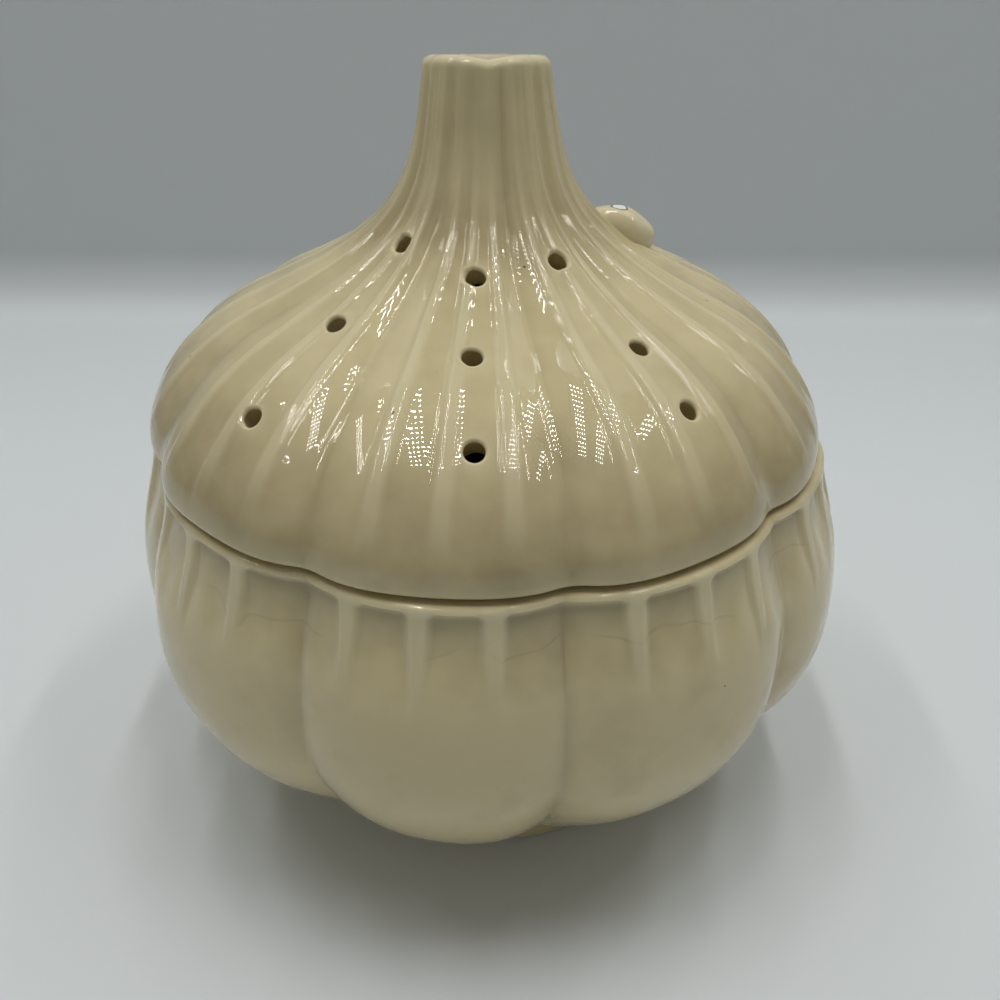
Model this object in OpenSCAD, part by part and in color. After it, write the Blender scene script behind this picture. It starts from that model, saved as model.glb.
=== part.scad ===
// Garlic keeper: a glazed ceramic jar and lid in the form of a bulb of garlic.
// The jar is the lower half of the bulb. The lid is the upper half with its neck, which is also
// its handle, and it drops into the jar's mouth with a round flange. A small lump of clay is
// stuck on the lid's shoulder. Millimetres, +Z up, the origin under the middle of the foot,
// and the front of the bulb towards -Y. Angles round the bulb run from the front to the right.

/* [Jar] */
// Width across the crests of the cloves at the belly
belly_d = 145; // [136:1:156]
// Height of the widest place above the table
belly_z = 47; // [43:1:51]
// Height of the jar without its lid
jar_h = 80; // [76:1:90]
// Width across the crests at the jar's rim
rim_d = 132.4; // [130:0.2:136]
// Diameter of the foot ring
foot_d = 86.8; // [78:0.2:90]
// Height of the foot ring that shows under the cloves
foot_h = 4; // [3:0.5:6]
// Width of the foot ring's flat face
foot_ring_w = 5.5; // [3.5:0.5:8]
// Depth of the hollow under the foot
foot_recess = 2; // [1:0.5:3]
// Thickness of the jar's floor above that hollow
floor_t = 5; // [4:0.5:8]
// Thickness of the jar's wall behind the creases
jar_wall = 4.8; // [3.5:0.1:6]
// Diameter of the mouth
mouth_d = 108; // [100:0.5:110]

/* [Lid] */
// Height of the lid above the jar's rim, up to the top of the neck
lid_h = 65; // [60:1:75]
// Width across the crests at the lid's edge
lid_d = 130.6; // [128:0.2:134]
// How far the lid's lower part leans to the left of its flange and neck
lid_lean = 0.7; // [0:0.1:1]
// Width of the bulb where its shoulder turns up into the neck
turn_d = 85; // [78:0.2:92]
// Height of that turn above the jar's rim
turn_h = 25; // [22:0.5:28]
// Slope of the shoulder at the turn
turn_slope = 24.3; // [20:0.1:28]
// Width of the neck under its top edge
neck_d = 22.2; // [21:0.2:26]
// Radius of the neck's top edge
neck_edge_r = 2; // [1:0.25:3]
// How much higher the neck's top stands at the front than at the back
neck_tilt = 1.8; // [0:0.1:2.4]
// Depth of the dish in the neck's top
neck_dish = 0.9; // [0.5:0.1:1.5]
// Width of the notch in the front of the neck's top edge
notch_w = 8.5; // [4:0.5:10]
// Depth of that notch
notch_t = 1.6; // [0.8:0.1:2]
// Thickness of the lid's wall behind the creases
lid_wall = 4.8; // [3.5:0.1:5.5]
// Thickness of the neck's wall behind its flutes
neck_wall = 4.2; // [3:0.1:5]
// Thickness of the clay at the top of the neck
neck_top_t = 5.5; // [4:0.5:8]

/* [Seat] */
// Depth of the lid's flange below the jar's rim
flange_h = 7; // [4:0.5:10]
// Thickness of the flange
flange_t = 4; // [3:0.5:6]
// Gap all round between the flange and the jar's mouth
flange_gap = 1; // [0.5:0.1:2]
// Width of the jar's flat seat, on which the lid rests
seat_w = 7; // [4:0.5:8]
// Gap that shows between the lid's edge and the jar's shoulder
edge_gap = 0.7; // [0.4:0.1:1.6]
// How far the lid's edge hangs below the seat
lid_drop = 0.6; // [0.2:0.1:1]
// Gap all round between that edge and the seat
seat_gap = 0.6; // [0.4:0.1:1]
// Radius of the lid's lower edge and of the jar's shoulder
lip_r = 1.3; // [0.8:0.1:2]

/* [Cloves] */
// Depth of the creases at the lid's edge
lid_crease = 2.6; // [1.5:0.1:3.5]
// Depth of the creases at the jar's rim
rim_crease = 2.5; // [1.5:0.1:3.5]
// Depth of the creases low on the jar, where the cloves tuck under
low_crease = 4.8; // [3:0.1:6]
// Height above the table at which the creases are deepest
low_crease_z = 22; // [16:1:30]
// Depth of the creases where they run out at the foot
foot_crease = 0.6; // [0.2:0.1:1]
// Height of the ribs on the lid
rib_h = 0.5; // [0.3:0.1:1.2]
// Depth of the panels between the short pleats under the jar's rim
pleat_t = 0.7; // [0.4:0.1:1.4]
// Height of those pleats, down from the jar's shoulder
pleat_h = 15; // [8:1:20]
// Depth of the flutes in the neck
flute_t = 0.8; // [0.4:0.1:1.4]

/* [Air holes] */
// Diameter of the air holes in the lid
vent_d = 3.3; // [2.4:0.1:4]
// Distance of the upper holes from the middle of the lid
vent_r_upper = 22.9; // [20:0.1:26]
// Distance of the middle holes
vent_r_middle = 38.5; // [34:0.1:42]
// Distance of the lower holes
vent_r_lower = 53.4; // [50:0.2:56]

/* [Sprig] */
// Length of the lump stuck on the lid's shoulder
sprig_l = 14; // [12:0.5:20]
// Width of the lump
sprig_d = 8; // [7:0.1:11]
// Direction of the lump, round from the front to the right
sprig_at = 103; // [95:1:115]
// Distance of the lump's middle from the middle of the lid
sprig_r = 25.9; // [23:0.1:30]
// How deep the lump is bedded in the lid's surface
sprig_bed = 2.7; // [1:0.1:3]

/* [Hidden] */

jar_colour = "#dccfa6";
lid_colour = "#e2d6b0";
sprig_colour = "#e6dcbd";

$fn = 96;

// Where the creases between the cloves run. The bulb is hand modelled, so no two cloves are
// alike, and the lid's creases don't quite meet the jar's.
lid_edges = [-112, -64.5, -24.8, 12.7, 50, 87.5, 127.5, 168, 208];
jar_edges = [-113, -67, -25.6, 10.9, 50, 86.5, 127, 167.5, 207];
// The air holes are cut by hand in the three cloves at the front. Each clove has the angles of
// its upper, middle and lower hole, and how far each hole strays outwards from its row.
vent_angles = [[-43, -42.5, -42.5], [-4, -3, -1.5], [32, 38, 38.3]];
vent_strays = [[-1.8, -1.8, 1.4], [1.6, 0, 0], [0, 2, -1.2]];

// Places across a clove, from 0 at its left crease to 1 at its right one
rib_at = [0.24, 0.51, 0.78];
rib_top = 0.016;
rib_foot = 0.038;
flute_at = 0.4;
rib_sides = [for (c = rib_at) each [c - rib_foot, c - rib_top, c + rib_top, c + rib_foot]];
across = concat([0, 0.04, 0.11], [for (i = [0:3]) rib_sides[i]], [flute_at],
                [for (i = [4:7]) rib_sides[i]], [0.64], [for (i = [8:11]) rib_sides[i]], [0.9, 0.96]);

lid_fullness = 3.8;     // how square the cloves are on the lid: a power of the place across one
jar_fullness = 2.8;     // the same on the jar, where they are rounder
neck_crease = 0.3;      // depth of the cloves' creases at the top of the neck

top_z = jar_h + lid_h;
flange_r = mouth_d / 2 - flange_gap;
flange_in_r = flange_r - flange_t;
seat_r = mouth_d / 2 + seat_w;
floor_z = foot_recess + floor_t;
overlap = 1;            // how far shapes that are joined run into one another

function smooth(x) = let (c = min(max(x, 0), 1)) c * c * (3 - 2 * c);
function mix(a, b, x) = a + (b - a) * x;
function bezier(p, t) = pow(1 - t, 3) * p[0] + 3 * pow(1 - t, 2) * t * p[1]
                        + 3 * (1 - t) * t * t * p[2] + pow(t, 3) * p[3];
function bezier_way(p, t) = pow(1 - t, 2) * (p[1] - p[0]) + 2 * (1 - t) * t * (p[2] - p[1])
                            + t * t * (p[3] - p[2]);
// The point at t on a curve, moved in by a share of x and then by a wall's thickness square to it
function inset_point(p, t, x, wall) =
    let (c = bezier(p, t), w = bezier_way(p, t), n = [w[1], -w[0]] / norm(w))
    [c[0] - x, c[1]] - wall * n;

// ---- Outlines of the crests of the cloves, as [radius, height] ----
shoulder_top = jar_h - lid_drop - edge_gap;
shoulder_z = shoulder_top - lip_r;
jar_under = [[foot_d / 2 - 1, foot_h - 1], [foot_d / 2 + 6, foot_h + 6],
             [belly_d / 2, belly_z - 20], [belly_d / 2, belly_z]];
jar_over = [[belly_d / 2, belly_z], [belly_d / 2, belly_z + 16],
            [rim_d / 2 + 0.8, shoulder_z - 6.5], [rim_d / 2, shoulder_z]];
edge_z = jar_h - lid_drop + lip_r;
turn = [turn_d / 2, jar_h + turn_h];
turn_way = [-cos(turn_slope), sin(turn_slope)];
neck_z = top_z - neck_edge_r;
tilt_start_z = top_z - neck_d;
lid_dome = [[lid_d / 2, edge_z], [lid_d / 2, edge_z + 2], turn - 20.5 * turn_way, turn];
lid_cove = [turn, turn + 30.4 * turn_way, [neck_d / 2 + 3.1, neck_z - 19], [neck_d / 2, neck_z]];

// ---- The skin: one ring of points round the bulb ----
function clove_angle(edges, i, f) =
    mix(edges[i], i + 1 < len(edges) ? edges[i + 1] : edges[0] + 360, f);
function crease(f, fullness) = pow(abs(2 * f - 1), fullness);
function rib(f) = max([for (c = rib_at) smooth((rib_foot - abs(f - c)) / (rib_foot - rib_top))]);
function flute(f) =
    let (p = f < flute_at ? f / flute_at : (f - flute_at) / (1 - flute_at))
    1 - pow(sin(180 * p), 0.7);
function ring(edges, r, z, depth, fullness, raised = 0, sunk = 0, fluted = 0, lean = 0, tilt = 0) =
    [for (i = [0:len(edges) - 1], f = across)
        let (a = clove_angle(edges, i, f),
             q = r - depth * crease(f, fullness) + raised * rib(f) - sunk * (1 - rib(f))
                 - fluted * flute(f))
        [q * sin(a) - lean, -q * cos(a), z + tilt * q * cos(a)]];

// A closed skin through rings of points, the lowest first, with a middle point at each end
module skin(rings, low_z, high_z) {
    n = len(rings[0]);
    m = len(rings);
    points = concat([for (r = rings) each r], [[0, 0, low_z], [0, 0, high_z]]);
    sides = [for (j = [0:m - 2], i = [0:n - 1])
        let (k = (i + 1) % n, a = j * n)
        each [[a + i, a + n + i, a + n + k], [a + i, a + n + k, a + k]]];
    low = [for (i = [0:n - 1]) [n * m, i, (i + 1) % n]];
    high = [for (i = [0:n - 1]) [n * m + 1, (m - 1) * n + (i + 1) % n, (m - 1) * n + i]];
    polyhedron(points, concat(sides, low, high));
}

// ---- Jar ----
function jar_crease(z) =
    z < low_crease_z ? mix(foot_crease, low_crease, smooth((z - foot_h) / (low_crease_z - foot_h)))
                     : mix(low_crease, rim_crease, smooth((z - low_crease_z) / (jar_h - low_crease_z)));
function pleated(z) = pleat_t * smooth((z - (shoulder_z - pleat_h)) / (pleat_h * 0.7))
                      * smooth((shoulder_z + 0.6 - z) / 2.2);
function jar_ring(p) =
    ring(jar_edges, p[0], p[1], jar_crease(p[1]), jar_fullness, sunk = pleated(p[1]));

module jar_outside() {
    under = [for (t = [0, 0.12, 0.26, 0.4, 0.55, 0.7, 0.85]) bezier(jar_under, t)];
    over = [for (t = [0, 0.2, 0.36, 0.5, 0.62, 0.74, 0.86, 0.95]) bezier(jar_over, t)];
    lip = [for (a = [0, 45, 90])
        [rim_d / 2 - lip_r * (1 - cos(a)), shoulder_z + lip_r * sin(a)]];
    skin([for (p = concat(under, over, lip)) jar_ring(p)], foot_h - 1, shoulder_top);
}

module jar_hollow() {
    low = [for (t = [0.3, 0.42, 0.55, 0.7, 0.85])
        inset_point(jar_under, t, jar_crease(bezier(jar_under, t)[1]), jar_wall)];
    high = [for (t = [0, 0.2, 0.4, 0.55, 0.68])
        inset_point(jar_over, t, jar_crease(bezier(jar_over, t)[1]), jar_wall)];
    wall = [for (p = concat(low, high)) if (p[1] > floor_z + 1.5) p];
    rotate_extrude()
        polygon(concat([[0, floor_z], [wall[0][0] - 4, floor_z]], wall,
                       [[mouth_d / 2, jar_h - flange_h], [mouth_d / 2, jar_h + overlap],
                        [0, jar_h + overlap]]));
}

module jar() {
    color(jar_colour)
    difference() {
        union() {
            jar_outside();
            // Foot, and the flat seat inside the shoulder
            cylinder(d = foot_d, h = foot_h + 2 * overlap);
            translate([0, 0, shoulder_z - overlap]) cylinder(r = seat_r, h = jar_h - shoulder_z + overlap);
        }
        jar_hollow();
        translate([0, 0, -overlap]) cylinder(d = foot_d - 2 * foot_ring_w, h = foot_recess + overlap);
    }
}

// ---- Lid ----
function lid_depth(z) = mix(lid_crease, neck_crease, smooth((z - edge_z) / (neck_z - edge_z)));
function ribbed(z) = rib_h * smooth((z - edge_z - 1) / 5) * smooth((neck_z - 6 - z) / 24);
function fluted(z) = flute_t * smooth((z - jar_h - turn_h - 4) / 16) * smooth((top_z - 0.5 - z) / 5);
function leaning(z) = lid_lean * smooth((jar_h + 1.6 * turn_h - z) / (1.6 * turn_h));
// How much the neck's rings slope up to the front, more and more towards its top
function tilted(z) = neck_tilt / neck_d * smooth((z - tilt_start_z) / neck_d);
function lid_ring(p) =
    ring(lid_edges, p[0], p[1], lid_depth(p[1]), lid_fullness, raised = ribbed(p[1]),
         fluted = fluted(p[1]), lean = leaning(p[1]), tilt = tilted(p[1]));

module lid_outside() {
    lip = [for (a = [90, 45])
        [lid_d / 2 - lip_r * (1 - cos(a)), edge_z - lip_r * sin(a)]];
    dome = [for (t = [0, 0.14, 0.28, 0.42, 0.57, 0.72, 0.86]) bezier(lid_dome, t)];
    cove = [for (t = [0, 0.14, 0.27, 0.4, 0.52, 0.64, 0.76, 0.88, 1]) bezier(lid_cove, t)];
    edge = [for (a = [45, 90])
        [neck_d / 2 - neck_edge_r * (1 - cos(a)), neck_z + neck_edge_r * sin(a)]];
    skin([for (p = concat(lip, dome, cove, edge)) lid_ring(p)], jar_h - lid_drop, top_z - neck_dish);
}

module lid_hollow() {
    dome = [for (t = [0.2:0.1:0.95])
        inset_point(lid_dome, t, lid_depth(bezier(lid_dome, t)[1]), lid_wall)];
    cove = [for (t = [0, 0.15, 0.3, 0.45, 0.6, 0.75])
        inset_point(lid_cove, t, lid_depth(bezier(lid_cove, t)[1]) + fluted(bezier(lid_cove, t)[1]),
                    mix(lid_wall, neck_wall, t))];
    wall = [for (p = concat(dome, cove)) if (p[0] < flange_in_r - 0.5) p];
    tip_r = neck_d / 2 - flute_t - neck_crease - neck_wall;
    low_z = jar_h - flange_h - overlap;
    rotate_extrude()
        polygon(concat([[0, low_z], [flange_in_r, low_z], [flange_in_r, wall[0][1] - 1.5]], wall,
                       [[tip_r, top_z - neck_top_t - tip_r], [tip_r * 0.6, top_z - neck_top_t - tip_r * 0.2],
                        [0, top_z - neck_top_t]]));
}

// One air hole, square to the shoulder at a distance r from the middle of the lid
module air_hole(r, a) {
    curve = r > turn[0] ? lid_dome : lid_cove;
    t = curve_place(curve, r);
    p = bezier(curve, t);
    way = bezier_way(curve, t);
    rotate([0, 0, a - 90]) translate([p[0], 0, p[1]]) rotate([0, atan2(way[1], -way[0]), 0])
        cylinder(d = vent_d, h = 4 * lid_wall, center = true, $fn = 32);
}
// Where a falling curve has the radius r, by halving
function curve_place(p, r, low = 0, high = 1, n = 14) =
    let (t = (low + high) / 2)
    n == 0 ? t : bezier(p, t)[0] > r ? curve_place(p, r, t, high, n - 1)
                                     : curve_place(p, r, low, t, n - 1);

// The dip in the front of the neck's top edge, a V whose sides run on above it
module neck_notch() {
    translate([0, -neck_d / 4, top_z + neck_tilt / 2]) rotate([90, 0, 0])
        linear_extrude(neck_d / 2 + overlap)
            polygon([[0, -notch_t], [notch_w, notch_t], [-notch_w, notch_t]]);
}

module lid() {
    color(lid_colour)
    difference() {
        union() {
            difference() {
                lid_outside();
                translate([0, 0, jar_h - lid_drop - overlap])
                    cylinder(r = seat_r + seat_gap, h = lid_drop + overlap);
            }
            // The flange that drops into the jar's mouth
            translate([0, 0, jar_h - flange_h]) cylinder(r = flange_r, h = flange_h + overlap);
        }
        lid_hollow();
        for (i = [0:2], j = [0:2])
            air_hole([vent_r_upper, vent_r_middle, vent_r_lower][j] + vent_strays[i][j], vent_angles[i][j]);
        neck_notch();
        sprig_form();
    }
}

// ---- Sprig ----
// A bean of clay that lies up the slope of the shoulder, bedded in the lid
module sprig_form() {
    curve = sprig_r > turn[0] ? lid_dome : lid_cove;
    t = curve_place(curve, sprig_r);
    p = bezier(curve, t);
    way = bezier_way(curve, t);
    rotate([0, 0, sprig_at - 90]) translate([p[0], 0, p[1]]) rotate([0, atan2(way[1], -way[0]), 0])
        translate([0, 0, sprig_d / 2 - sprig_bed - lid_crease / 2]) rotate([0, 90, 0])
            rotate_extrude($fn = 48) polygon(
                [for (a = [-90:15:90]) [sprig_d / 2 * pow(cos(a), 0.8), sprig_l / 2 * sin(a)]]);
}

module lid_sprig() {
    color(sprig_colour) sprig_form();
}

jar();
lid();
lid_sprig();
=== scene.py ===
"""Dresses a packed garlic keeper: its jar, its lid and the sprig on the lid's shoulder.

Each piece starts as a bent edge, is spun round the bulb's middle as on a potter's wheel, and is
then pressed into cloves, ribs, pleats and flutes. Everything is in metres, +Z is up, and angles
round the bulb run from its front (-Y) to its right (+X).
"""

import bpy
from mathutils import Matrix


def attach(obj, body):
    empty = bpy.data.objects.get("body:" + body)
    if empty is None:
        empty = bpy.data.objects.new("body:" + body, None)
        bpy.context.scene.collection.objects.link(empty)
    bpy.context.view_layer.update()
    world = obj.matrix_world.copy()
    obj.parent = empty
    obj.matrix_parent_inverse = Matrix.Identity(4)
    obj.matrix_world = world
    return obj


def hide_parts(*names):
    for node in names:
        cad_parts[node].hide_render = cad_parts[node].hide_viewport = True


bl_info = {
    "name": "Garlic keeper",
    "version": (1, 0, 0),
    "blender": (4, 5, 0),
    "location": "3D View > Sidebar > Garlic keeper",
    "description": "Models and glazes the jar, the lid and the sprig of a garlic keeper",
    "category": "Object",
}

import math

import bpy
import numpy as np
from mathutils import Matrix, Vector

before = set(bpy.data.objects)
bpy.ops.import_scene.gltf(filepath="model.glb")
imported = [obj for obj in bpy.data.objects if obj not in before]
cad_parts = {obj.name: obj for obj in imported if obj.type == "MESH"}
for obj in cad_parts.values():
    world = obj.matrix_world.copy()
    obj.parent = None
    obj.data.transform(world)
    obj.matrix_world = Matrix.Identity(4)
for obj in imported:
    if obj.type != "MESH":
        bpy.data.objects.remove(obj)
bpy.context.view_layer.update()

MM = 0.001

# ---- Where the cloves run -------------------------------------------------------------------
# The creases between the cloves in degrees round the bulb: on the lid, on the jar, and where the
# lid's creases come out at the top of the neck.
LID_CREASES = (-112, -64.5, -24.8, 12.7, 50, 87.5, 127.5, 168, 208)
JAR_CREASES = (-113, -67, -25.6, 10.9, 50, 86.5, 127, 167.5, 207)
NECK_CREASES = (-106, -60.5, -29.5, 12.2, 47, 86, 127.5, 168, 208)
# Three ribs on each clove, as shares of its width, and how far the hand that made each clove
# set them off to one side
RIBS = (0.25, 0.52, 0.79)
LID_RIB_SHIFTS = (0.01, -0.03, 0.0, 0.04, 0.01, -0.02, 0.02, -0.01, 0.02)
JAR_RIB_SHIFTS = (0.0, -0.06, -0.05, 0.0, -0.01, 0.02, -0.02, 0.01, 0.0)
# The air holes of the three cloves at the front: direction in degrees, and distance from the
# middle in millimetres
AIR_HOLES = (
    (-43, 21.1), (-42.5, 36.7), (-42.5, 54.8),
    (-4, 24.5), (-3, 38.5), (-1.5, 53.4),
    (32, 22.9), (38, 40.5), (38.3, 52.2),
)
# Where the sprig lies on the shoulder, in the same way, and the slope at which its outer end
# stands up from the clay
SPRIG_DIRECTION, SPRIG_DISTANCE, SPRIG_TILT = 103, 25.9, 0.2
# The wavy line at which the jar's glaze stopped running: the highest it gets, and how far below
# that it may drift
RUN_HEIGHT, RUN_DRIFT = 0.0770, 14 * MM
STRIPS_PER_GAP = 20     # strips of faces between one rib or crease and the next
COLUMNS = len(LID_CREASES) * (len(RIBS) + 1) * STRIPS_PER_GAP

# ---- The stage --------------------------------------------------------------------------------
# Bars of lamps light the keeper from above
BAR_PLACES = (-0.47, -0.15, 0.16, 0.49)     # where they hang, left to right
BAR_BACK, BAR_HEIGHT = 0.20, 1.1            # how far behind the keeper's middle, and how high
BAR_SIZE = (0.05, 0.9)                      # width and length
BAR_WATTS = 3.45
FIRST_SHARE, SHARE_STEP = 0.93, 0.05        # of the watts: the first bar's, and what each adds
ROOM_LIGHT = 0.173                          # strength of the even light from all round
# Bands of small square diodes, which show only in reflections
DIODE_BANDS = (-0.88, -0.52, -0.26, 0.27, 0.52, 0.92)   # the middles of the bands, left to right
DIODE_OFFSET = -0.045                       # the first row of diodes, from its band's middle
DIODE_FRONT, DIODE_HEIGHT = -0.52, 1.09     # where the bands begin in front, and how high
DIODE_WIDTH, DIODE_GLOW = 0.012, 60.0
DIODE_GRID = (((0, 0.046, 0), 16, "Along"), ((0.030, 0, 0), 4, "Across"))    # step and count
# The table, and the wall behind it
TABLE_SIZE, TABLE_MIDDLE = (6, 1.26, 1), -0.38
WALL_BEND, BEND_STEPS, WALL_HEIGHT = 0.025, 10, 1.2
CAMERA_PLACE, CAMERA_LENS = (0.00242, -0.17782, 0.16686), 34.876
CAMERA_DOWN, CAMERA_ROLL = 31.719, 0.192    # degrees


# ---- Sizes and colours that a user would change -----------------------------------------------
def length(name, description, default):
    return bpy.props.FloatProperty(name=name, description=description, default=default,
                                   min=0, subtype="DISTANCE", unit="LENGTH", precision=5)


def colour(name, description, default):
    return bpy.props.FloatVectorProperty(name=name, description=description, default=default,
                                         min=0, max=1, size=3, subtype="COLOR")


class KeeperSizes(bpy.types.PropertyGroup):
    belly_width: length("Belly width", "Width across the crests of the cloves at the belly", 0.145)
    belly_height: length("Belly height", "Height of the widest place above the table", 0.047)
    jar_height: length("Jar height", "Height of the jar without its lid", 0.080)
    rim_width: length("Rim width", "Width across the crests at the jar's rim", 0.1324)
    foot_width: length("Foot width", "Diameter of the foot ring", 0.0868)
    foot_height: length("Foot height", "Height of the foot ring under the cloves", 0.004)
    foot_ring: length("Foot ring", "Width of the foot ring's flat face", 0.0055)
    wall: length("Wall", "Thickness of the clay behind the creases", 0.0048)
    mouth_width: length("Mouth width", "Diameter of the jar's mouth", 0.108)
    flange_depth: length("Flange depth", "Depth of the lid's flange below the jar's rim", 0.007)
    seat_width: length("Seat width", "Width of the flat seat under the lid", 0.007)
    lid_gap: length("Lid gap", "Gap that shows between the lid's edge and the jar", 0.0007)
    lid_drop: length("Lid drop", "How far the lid's edge hangs below the seat", 0.0006)
    lid_lean: length("Lid lean", "How far the lid's lower part leans to the left", 0.0007)
    edge_radius: length("Edge radius", "Rounding of the lid's edge and the jar's shoulder", 0.0013)
    lid_height: length("Lid height", "Height of the lid above the jar's rim", 0.065)
    lid_width: length("Lid width", "Width across the crests at the lid's edge", 0.1306)
    turn_width: length("Turn width", "Width where the shoulder turns up into the neck", 0.085)
    turn_height: length("Turn height", "Height of that turn above the jar's rim", 0.025)
    turn_slope: bpy.props.FloatProperty(
        name="Turn slope", description="Slope of the shoulder there",
        default=math.radians(24.3), subtype="ANGLE", unit="ROTATION")
    neck_width: length("Neck width", "Width of the neck under its top edge", 0.0222)
    neck_tilt: length("Neck tilt", "How much higher the neck's top is at the front", 0.0026)
    rib_height: length("Rib height", "Depth of the panels between the lid's ribs", 0.0008)
    pleat_depth: length("Pleat depth", "Depth of the panels between the jar's pleats", 0.0009)
    flute_depth: length("Flute depth", "Depth of the flutes in the neck", 0.00048)
    vent_width: length("Air hole", "Diameter of the air holes", 0.0033)


class KeeperFinish(bpy.types.PropertyGroup):
    glaze: colour("Glaze", "Ivory glaze on the open surfaces", (0.67, 0.57, 0.325))
    # The pooled colour also serves as painted shade: low on the lid, in the cove under the neck and
    # under the jar's shoulder
    pooled_and_shaded: colour("Pooled glaze", "Glaze where it lies thick in creases", (0.41, 0.335, 0.178))
    # The thin glaze's colour also paints highlights on the neck's top edge and on the sprig
    broken_and_highlight: colour("Thin glaze", "Glaze where it breaks over ribs and edges", (0.76, 0.68, 0.44))
    clay: colour("Bare clay", "Unglazed clay on the foot ring and the flange", (0.70, 0.64, 0.53))
    speck: colour("Specks", "Iron specks in the glaze", (0.10, 0.065, 0.03))
    # Colour of the white spot on the sprig's top
    white_spot: colour("Dab", "Spot of white glaze on the sprig", (0.86, 0.86, 0.84))
    floor: colour("Floor", "Table top", (0.75, 0.785, 0.79))
    # The wall is the same pale paper as the table; its darker colour is painted shade, where less
    # light reaches it
    wall: colour("Wall", "Wall behind the table", (0.55, 0.58, 0.585))


# ---- Lines and curves -------------------------------------------------------------------------
def smooth(x):
    c = np.clip(x, 0, 1)
    return c * c * (3 - 2 * c)


def mix(a, b, x):
    return a + (b - a) * x


def valley(share, power, round_from):
    """How deep a clove's skin lies at a share of its width: 0 at the crest, 1 in the crease, whose
    bottom is rounded."""
    across = np.abs(2 * share - 1)
    over = np.clip(across - round_from, 0, None)
    return (across - over ** 2 / (2 * (1 - round_from))) ** power


def bezier(points, t):
    """Points and their slopes at the places t on a curve with four control points."""
    p = np.array(points, float)
    t = np.atleast_1d(np.array(t, float))[:, None]
    at = ((1 - t) ** 3 * p[0] + 3 * (1 - t) ** 2 * t * p[1] + 3 * (1 - t) * t * t * p[2]
          + t ** 3 * p[3])
    way = (1 - t) ** 2 * (p[1] - p[0]) + 2 * (1 - t) * t * (p[2] - p[1]) + t * t * (p[3] - p[2])
    return at, way / np.linalg.norm(way, axis=1)[:, None]


def arc(centre, radius, start, end, steps):
    """Points on an arc in the outline's plane; angles in degrees from outwards (+r) to up."""
    a = np.radians(np.linspace(start, end, steps))
    return np.stack([centre[0] + radius * np.cos(a), centre[1] + radius * np.sin(a)], 1)


def jar_under(s):
    """The jar's outline from its foot up to the belly."""
    r, z = s.foot_width / 2, s.foot_height
    return [(r - MM, z - MM), (r + 6 * MM, z + 6 * MM),
            (s.belly_width / 2, s.belly_height - 20 * MM), (s.belly_width / 2, s.belly_height)]


def edge_height(s):
    """Height of the lid's lower edge."""
    return s.jar_height - s.lid_drop


def jar_over(s):
    """The jar's outline from the belly up to its shoulder."""
    z = edge_height(s) - s.lid_gap - s.edge_radius
    return [(s.belly_width / 2, s.belly_height), (s.belly_width / 2, s.belly_height + 16 * MM),
            (s.rim_width / 2 + 0.8 * MM, z - 6.5 * MM), (s.rim_width / 2, z)]


def lid_curves(s):
    """The lid's outline from its edge to its turn, and from there to the neck's top edge."""
    z = edge_height(s) + s.edge_radius
    turn = np.array([s.turn_width / 2, s.jar_height + s.turn_height])
    way = np.array([-math.cos(s.turn_slope), math.sin(s.turn_slope)])
    neck = s.jar_height + s.lid_height - 2 * MM
    return ([(s.lid_width / 2, z), (s.lid_width / 2, z + 2 * MM), turn - 20.5 * MM * way, turn],
            [turn, turn + 30.4 * MM * way, (s.neck_width / 2 + 3.1 * MM, neck - 19 * MM),
             (s.neck_width / 2, neck)])


def jar_crease(s, z):
    """How deep the creases between the jar's cloves are at a height."""
    low = 22 * MM
    under = mix(0.6, 4.8, smooth((z - s.foot_height) / (low - s.foot_height)))
    over = mix(4.8, 2.5, smooth((z - low) / (s.jar_height - low)))
    return np.where(z < low, under, over) * MM


def lid_crease(s, z):
    """How deep the creases between the lid's cloves are at a height."""
    edge = edge_height(s) + s.edge_radius
    neck = s.jar_height + s.lid_height - 2 * MM
    return mix(2.6, 0.3, smooth((z - edge) / (neck - edge))) * MM


def flutes_begin(s, z):
    """0 on the shoulder and 1 on the neck, where the flutes have come in."""
    return smooth((z - s.jar_height - s.turn_height - 4 * MM) / (16 * MM))


def inset(curve, places, crease, wall):
    """Points inside a wall: behind the creases by the wall's thickness, square to the curve."""
    at, way = bezier(curve, places)
    behind = at - np.stack([crease(at[:, 1]), 0 * at[:, 1]], 1)
    return behind - wall * np.stack([way[:, 1], -way[:, 0]], 1)


# ---- Turning a shape on the wheel ---------------------------------------------------------------
def deselect():
    if bpy.context.mode != "OBJECT":
        bpy.ops.object.mode_set(mode="OBJECT")
    bpy.ops.object.select_all(action="DESELECT")


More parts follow.
